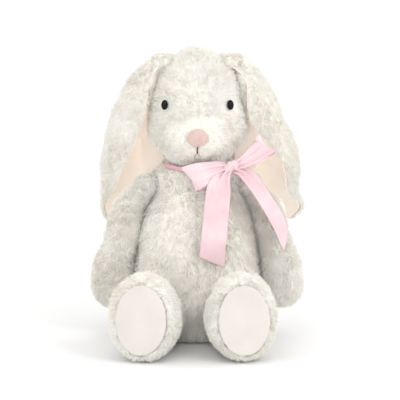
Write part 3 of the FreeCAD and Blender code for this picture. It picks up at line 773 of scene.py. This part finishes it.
# the knot: a wrapped pad with creases that turn round it
knot_points, knot_faces = ball(np.zeros(3), np.ones(3), rings=40)
angle = np.arctan2(knot_points[:, 2], knot_points[:, 1])
crease = (0.09 * np.sin(6 * knot_points[:, 0] + 1.5 * np.sin(angle))
          + 0.05 * np.sin(11 * knot_points[:, 0] + angle))
waist = 1 - 0.18 * np.exp(-((knot_points[:, 0] / 0.35) ** 2))
knot_points = knot_points * np.stack((np.ones_like(crease), (1 + crease) * waist, (1 + crease) * waist), 1)
tilt = math.radians(28)
shape = knot_points * (8.5 * MM, 5.6 * MM, 6.4 * MM)
x, z = shape[:, 0].copy(), shape[:, 2].copy()
shape[:, 0] = x * math.cos(tilt) - z * math.sin(tilt)
shape[:, 2] = x * math.sin(tilt) + z * math.cos(tilt)
knot = new_mesh("ribbon_knot_satin", shape + KNOT + (0, -1 * MM, 0), knot_faces, satin)
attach(knot, "torso")

for piece, node in (
    (left_loop, "ribbon_loop_left"), (right_loop, "ribbon_loop_right"), (knot, "ribbon_knot"),
    (left_tail, "ribbon_tail_left"), (right_tail, "ribbon_tail_right"), (band, "ribbon_band"),
):
    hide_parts(node)

head_tree = tree_of(head)


def on_face(x, z, proud):
    """The place on the front of the head at x and z, standing proud by so much."""
    hit = head_tree.ray_cast(Vector((x, AXIS_Y - 0.2, z)), Vector((0, 1, 0)))[0]
    return np.array((x, hit.y - proud, z))


def stitched(name, places, radius, proud, material):
    """A line of thread along some places on the face, twisted from two plies."""
    rows, sides = 60, 12
    line = smooth_path([on_face(x, z, proud) for x, z in places], rows)[0]
    along = unit(np.gradient(line, axis=0))
    side = unit(np.cross(along, np.array([(0.0, 1.0, 0.0)])))
    face = np.cross(along, side)
    a = np.linspace(0, 2 * np.pi, sides, endpoint=False)[None, :]
    s = np.linspace(0, 1, rows)[:, None]
    taper = np.sqrt(np.clip(1 - (2 * s - 1) ** 10, 0.02, 1))
    r = radius * taper * (1 + 0.18 * np.cos(2 * a + s * 60))
    outward = side[:, None, :] * np.cos(a)[..., None] + face[:, None, :] * np.sin(a)[..., None]
    points = line[:, None, :] + outward * r[..., None]
    return new_mesh(name, points.reshape(-1, 3), grid_faces(rows, sides, closed=True), material)


mouth = stitched("mouth_thread", [(0.2 * MM, nose_low.z + 1 * MM), (0, nose_low.z - 3 * MM),
                                  (0, nose_low.z - 7.5 * MM)], 0.75 * MM, 2.2 * MM, thread)
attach(mouth, "head")
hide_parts("mouth_stitch")
for side, sign in (("left", -1), ("right", 1)):
    fork = [(0, nose_low.z - 7 * MM), (sign * 2.2 * MM, nose_low.z - 10.5 * MM),
            (sign * 3.6 * MM, nose_low.z - 14.5 * MM)]
    lip = stitched(f"mouth_crease_{side}", fork, 0.42 * MM, 1.5 * MM, pale_thread)
    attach(lip, "head")

# ---------------------------------------------------------------- floor, light and camera

FLOOR_REACH = 4
floor_cloth = principled("floor", Base_Color=(0.97, 0.97, 0.97, 1), Roughness=0.9)[0]
floor = new_mesh("floor", np.array(((-1, -1, 0), (1, -1, 0), (1, 1, 0), (-1, 1, 0))) * float(FLOOR_REACH),
                 np.array(((0, 1, 2, 3),)), floor_cloth, smooth=False)

world = bpy.data.worlds.new("studio")
bpy.context.scene.world = world
world.use_nodes = True
world.node_tree.nodes["Background"].inputs["Color"].default_value = (1.0, 1.0, 1.0, 1)
world.node_tree.nodes["Background"].inputs["Strength"].default_value = 1.05


def softbox(name, place, aim, size, power):
    """A square area light at place that points at aim."""
    data = bpy.data.lights.new(name, "AREA")
    data.shape = "SQUARE"
    data.size = size
    data.energy = power
    ob = bpy.data.objects.new(name, data)
    ob.location = place
    ob.rotation_euler = (Vector(aim) - Vector(place)).to_track_quat("-Z", "Y").to_euler()
    bpy.context.scene.collection.objects.link(ob)


middle = Vector((0.0025, AXIS_Y, 0.1346))
softbox("key", (1.0, AXIS_Y - 1.3, 1.2), middle, 0.5, 5.5)
softbox("fill", (-0.5, AXIS_Y - 2.2, 0.5), middle, 1.4, 3)
softbox("glint", (-0.35, AXIS_Y - 1.4, 0.9), middle, 0.12, 1.2)

camera_data = bpy.data.cameras.new("camera")
camera_data.sensor_width = 36
camera_data.lens = 450
camera_data.clip_end = 50
camera = bpy.data.objects.new("camera", camera_data)
ELEVATION, DISTANCE = math.radians(10), 5.0
camera.location = middle + Vector((0, -math.cos(ELEVATION), math.sin(ELEVATION))) * DISTANCE
camera.rotation_euler = (math.pi / 2 - ELEVATION, 0, 0)
bpy.context.scene.collection.objects.link(camera)
bpy.context.scene.camera = camera
bpy.context.scene.view_settings.view_transform = "Standard"
